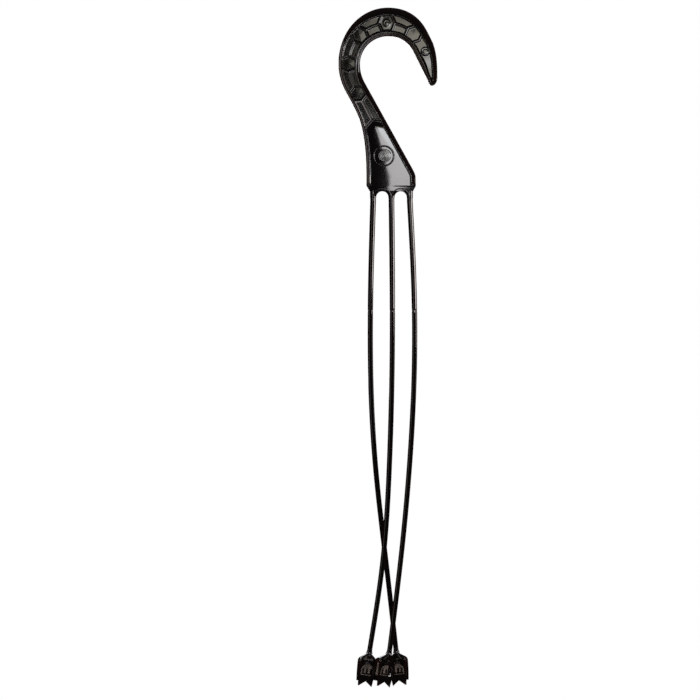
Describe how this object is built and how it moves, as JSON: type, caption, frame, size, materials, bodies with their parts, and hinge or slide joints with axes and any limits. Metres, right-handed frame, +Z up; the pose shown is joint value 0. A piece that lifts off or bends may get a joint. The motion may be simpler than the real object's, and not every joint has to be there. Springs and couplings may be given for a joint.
{
  "type": "hanging pot hanger",
  "caption": "Moulded plastic hanger for a hanging plant pot: a flat hook and gusset plate carry flexible strands that each end in a snap clip for the pot's rim.",
  "frame": {"origin": "the crown of the hook's inner edge, where a rail carries the hanger", "axes": "+Z up along the hanging strands, +X to the right towards the beak, -Y towards the front face with the medallion"},
  "size_m": [0.0653, 0.0266, 0.4479],
  "materials": {
    "hook": "glossy",
    "plate": "glossy",
    "medallion": "glossy",
    "yoke": "glossy",
    "strand": "glossy",
    "neck": "glossy",
    "clip": "glossy",
    "latch": "glossy"
  },
  "bodies": {
    "frame": {"hook": "hook", "plate": "plate", "medallion": "medallion", "yoke": "yoke"},
    "left_strand": {"left_strand_bar": "strand", "left_strand_rod": "strand"},
    "left_neck": {"left_neck": "neck"},
    "left_clip": {"left_clip_shell": "clip"},
    "left_latch": {"left_latch_comb": "latch"},
    "middle_strand": {"middle_strand_bar": "strand", "middle_strand_rod": "strand"},
    "middle_neck": {"middle_neck": "neck"},
    "middle_clip": {"middle_clip_shell": "clip"},
    "middle_latch": {"middle_latch_comb": "latch"},
    "right_strand": {"right_strand_bar": "strand", "right_strand_rod": "strand"},
    "right_neck": {"right_neck": "neck"},
    "right_clip": {"right_clip_shell": "clip"},
    "right_latch": {"right_latch_comb": "latch"}
  },
  "joints": [
    {"name": "left_strand_spread", "type": "hinge", "parent": "frame", "child": "left_strand", "pos_m": [-0.0099, 0, -0.1089], "axis": [1, 0, 0], "range_deg": [0, 35], "stiffness_Nm_per_rad": 0.08},
    {"name": "left_neck_bend", "type": "hinge", "parent": "left_strand", "child": "left_neck", "pos_m": [0.0051, 0.007, -0.4032], "axis": [1, 0, 0], "range_deg": [-35, 0]},
    {"name": "left_clip_turn", "type": "hinge", "parent": "left_neck", "child": "left_clip", "pos_m": [0.00551, 0.007, -0.40708], "axis": [-0.1045, 0, 0.9945], "range_deg": [-90, 75], "stiffness_Nm_per_rad": 0.02},
    {"name": "left_latch_flex", "type": "hinge", "parent": "left_clip", "child": "left_latch", "pos_m": [0.0068, 0.00656, -0.42037], "axis": [0.969, -0.225, 0.1019], "range_deg": [0, 12], "stiffness_Nm_per_rad": 0.05},
    {"name": "middle_strand_spread", "type": "hinge", "parent": "frame", "child": "middle_strand", "pos_m": [0.0022, 0, -0.1089], "axis": [-0.5, 0.866, 0], "range_deg": [0, 35], "stiffness_Nm_per_rad": 0.08},
    {"name": "middle_neck_bend", "type": "hinge", "parent": "middle_strand", "child": "middle_neck", "pos_m": [-0.0119, -0.0012, -0.4032], "axis": [-0.5, 0.866, 0], "range_deg": [-35, 0]},
    {"name": "middle_clip_turn", "type": "hinge", "parent": "middle_neck", "child": "middle_clip", "pos_m": [-0.01244, -0.0012, -0.40706], "axis": [0.1392, 0, 0.9903], "range_deg": [-18, 90], "stiffness_Nm_per_rad": 0.02},
    {"name": "middle_latch_flex", "type": "hinge", "parent": "middle_clip", "child": "middle_latch", "pos_m": [-0.01423, -0.00164, -0.42029], "axis": [0.9781, 0.1564, -0.1375], "range_deg": [0, 12], "stiffness_Nm_per_rad": 0.05},
    {"name": "right_strand_spread", "type": "hinge", "parent": "frame", "child": "right_strand", "pos_m": [0.0143, 0, -0.1089], "axis": [-0.5, -0.866, 0], "range_deg": [0, 35], "stiffness_Nm_per_rad": 0.08},
    {"name": "right_neck_bend", "type": "hinge", "parent": "right_strand", "child": "right_neck", "pos_m": [0.0011, -0.008, -0.4032], "axis": [-0.5, -0.866, 0], "range_deg": [-35, 0]},
    {"name": "right_clip_turn", "type": "hinge", "parent": "right_neck", "child": "right_clip", "pos_m": [0.00042, -0.008, -0.40704], "axis": [0.1736, 0, 0.9848], "range_deg": [-90, 90], "stiffness_Nm_per_rad": 0.02},
    {"name": "right_latch_flex", "type": "hinge", "parent": "right_clip", "child": "right_latch", "pos_m": [-0.00171, -0.00841, -0.42022], "axis": [0.8997, 0.4067, -0.1586], "range_deg": [0, 12], "stiffness_Nm_per_rad": 0.05}
  ],
  "couplings": [
    {"joint": "left_neck_bend", "follows": "left_strand_spread", "ratio": -1},
    {"joint": "middle_neck_bend", "follows": "middle_strand_spread", "ratio": -1},
    {"joint": "right_neck_bend", "follows": "right_strand_spread", "ratio": -1}
  ]
}
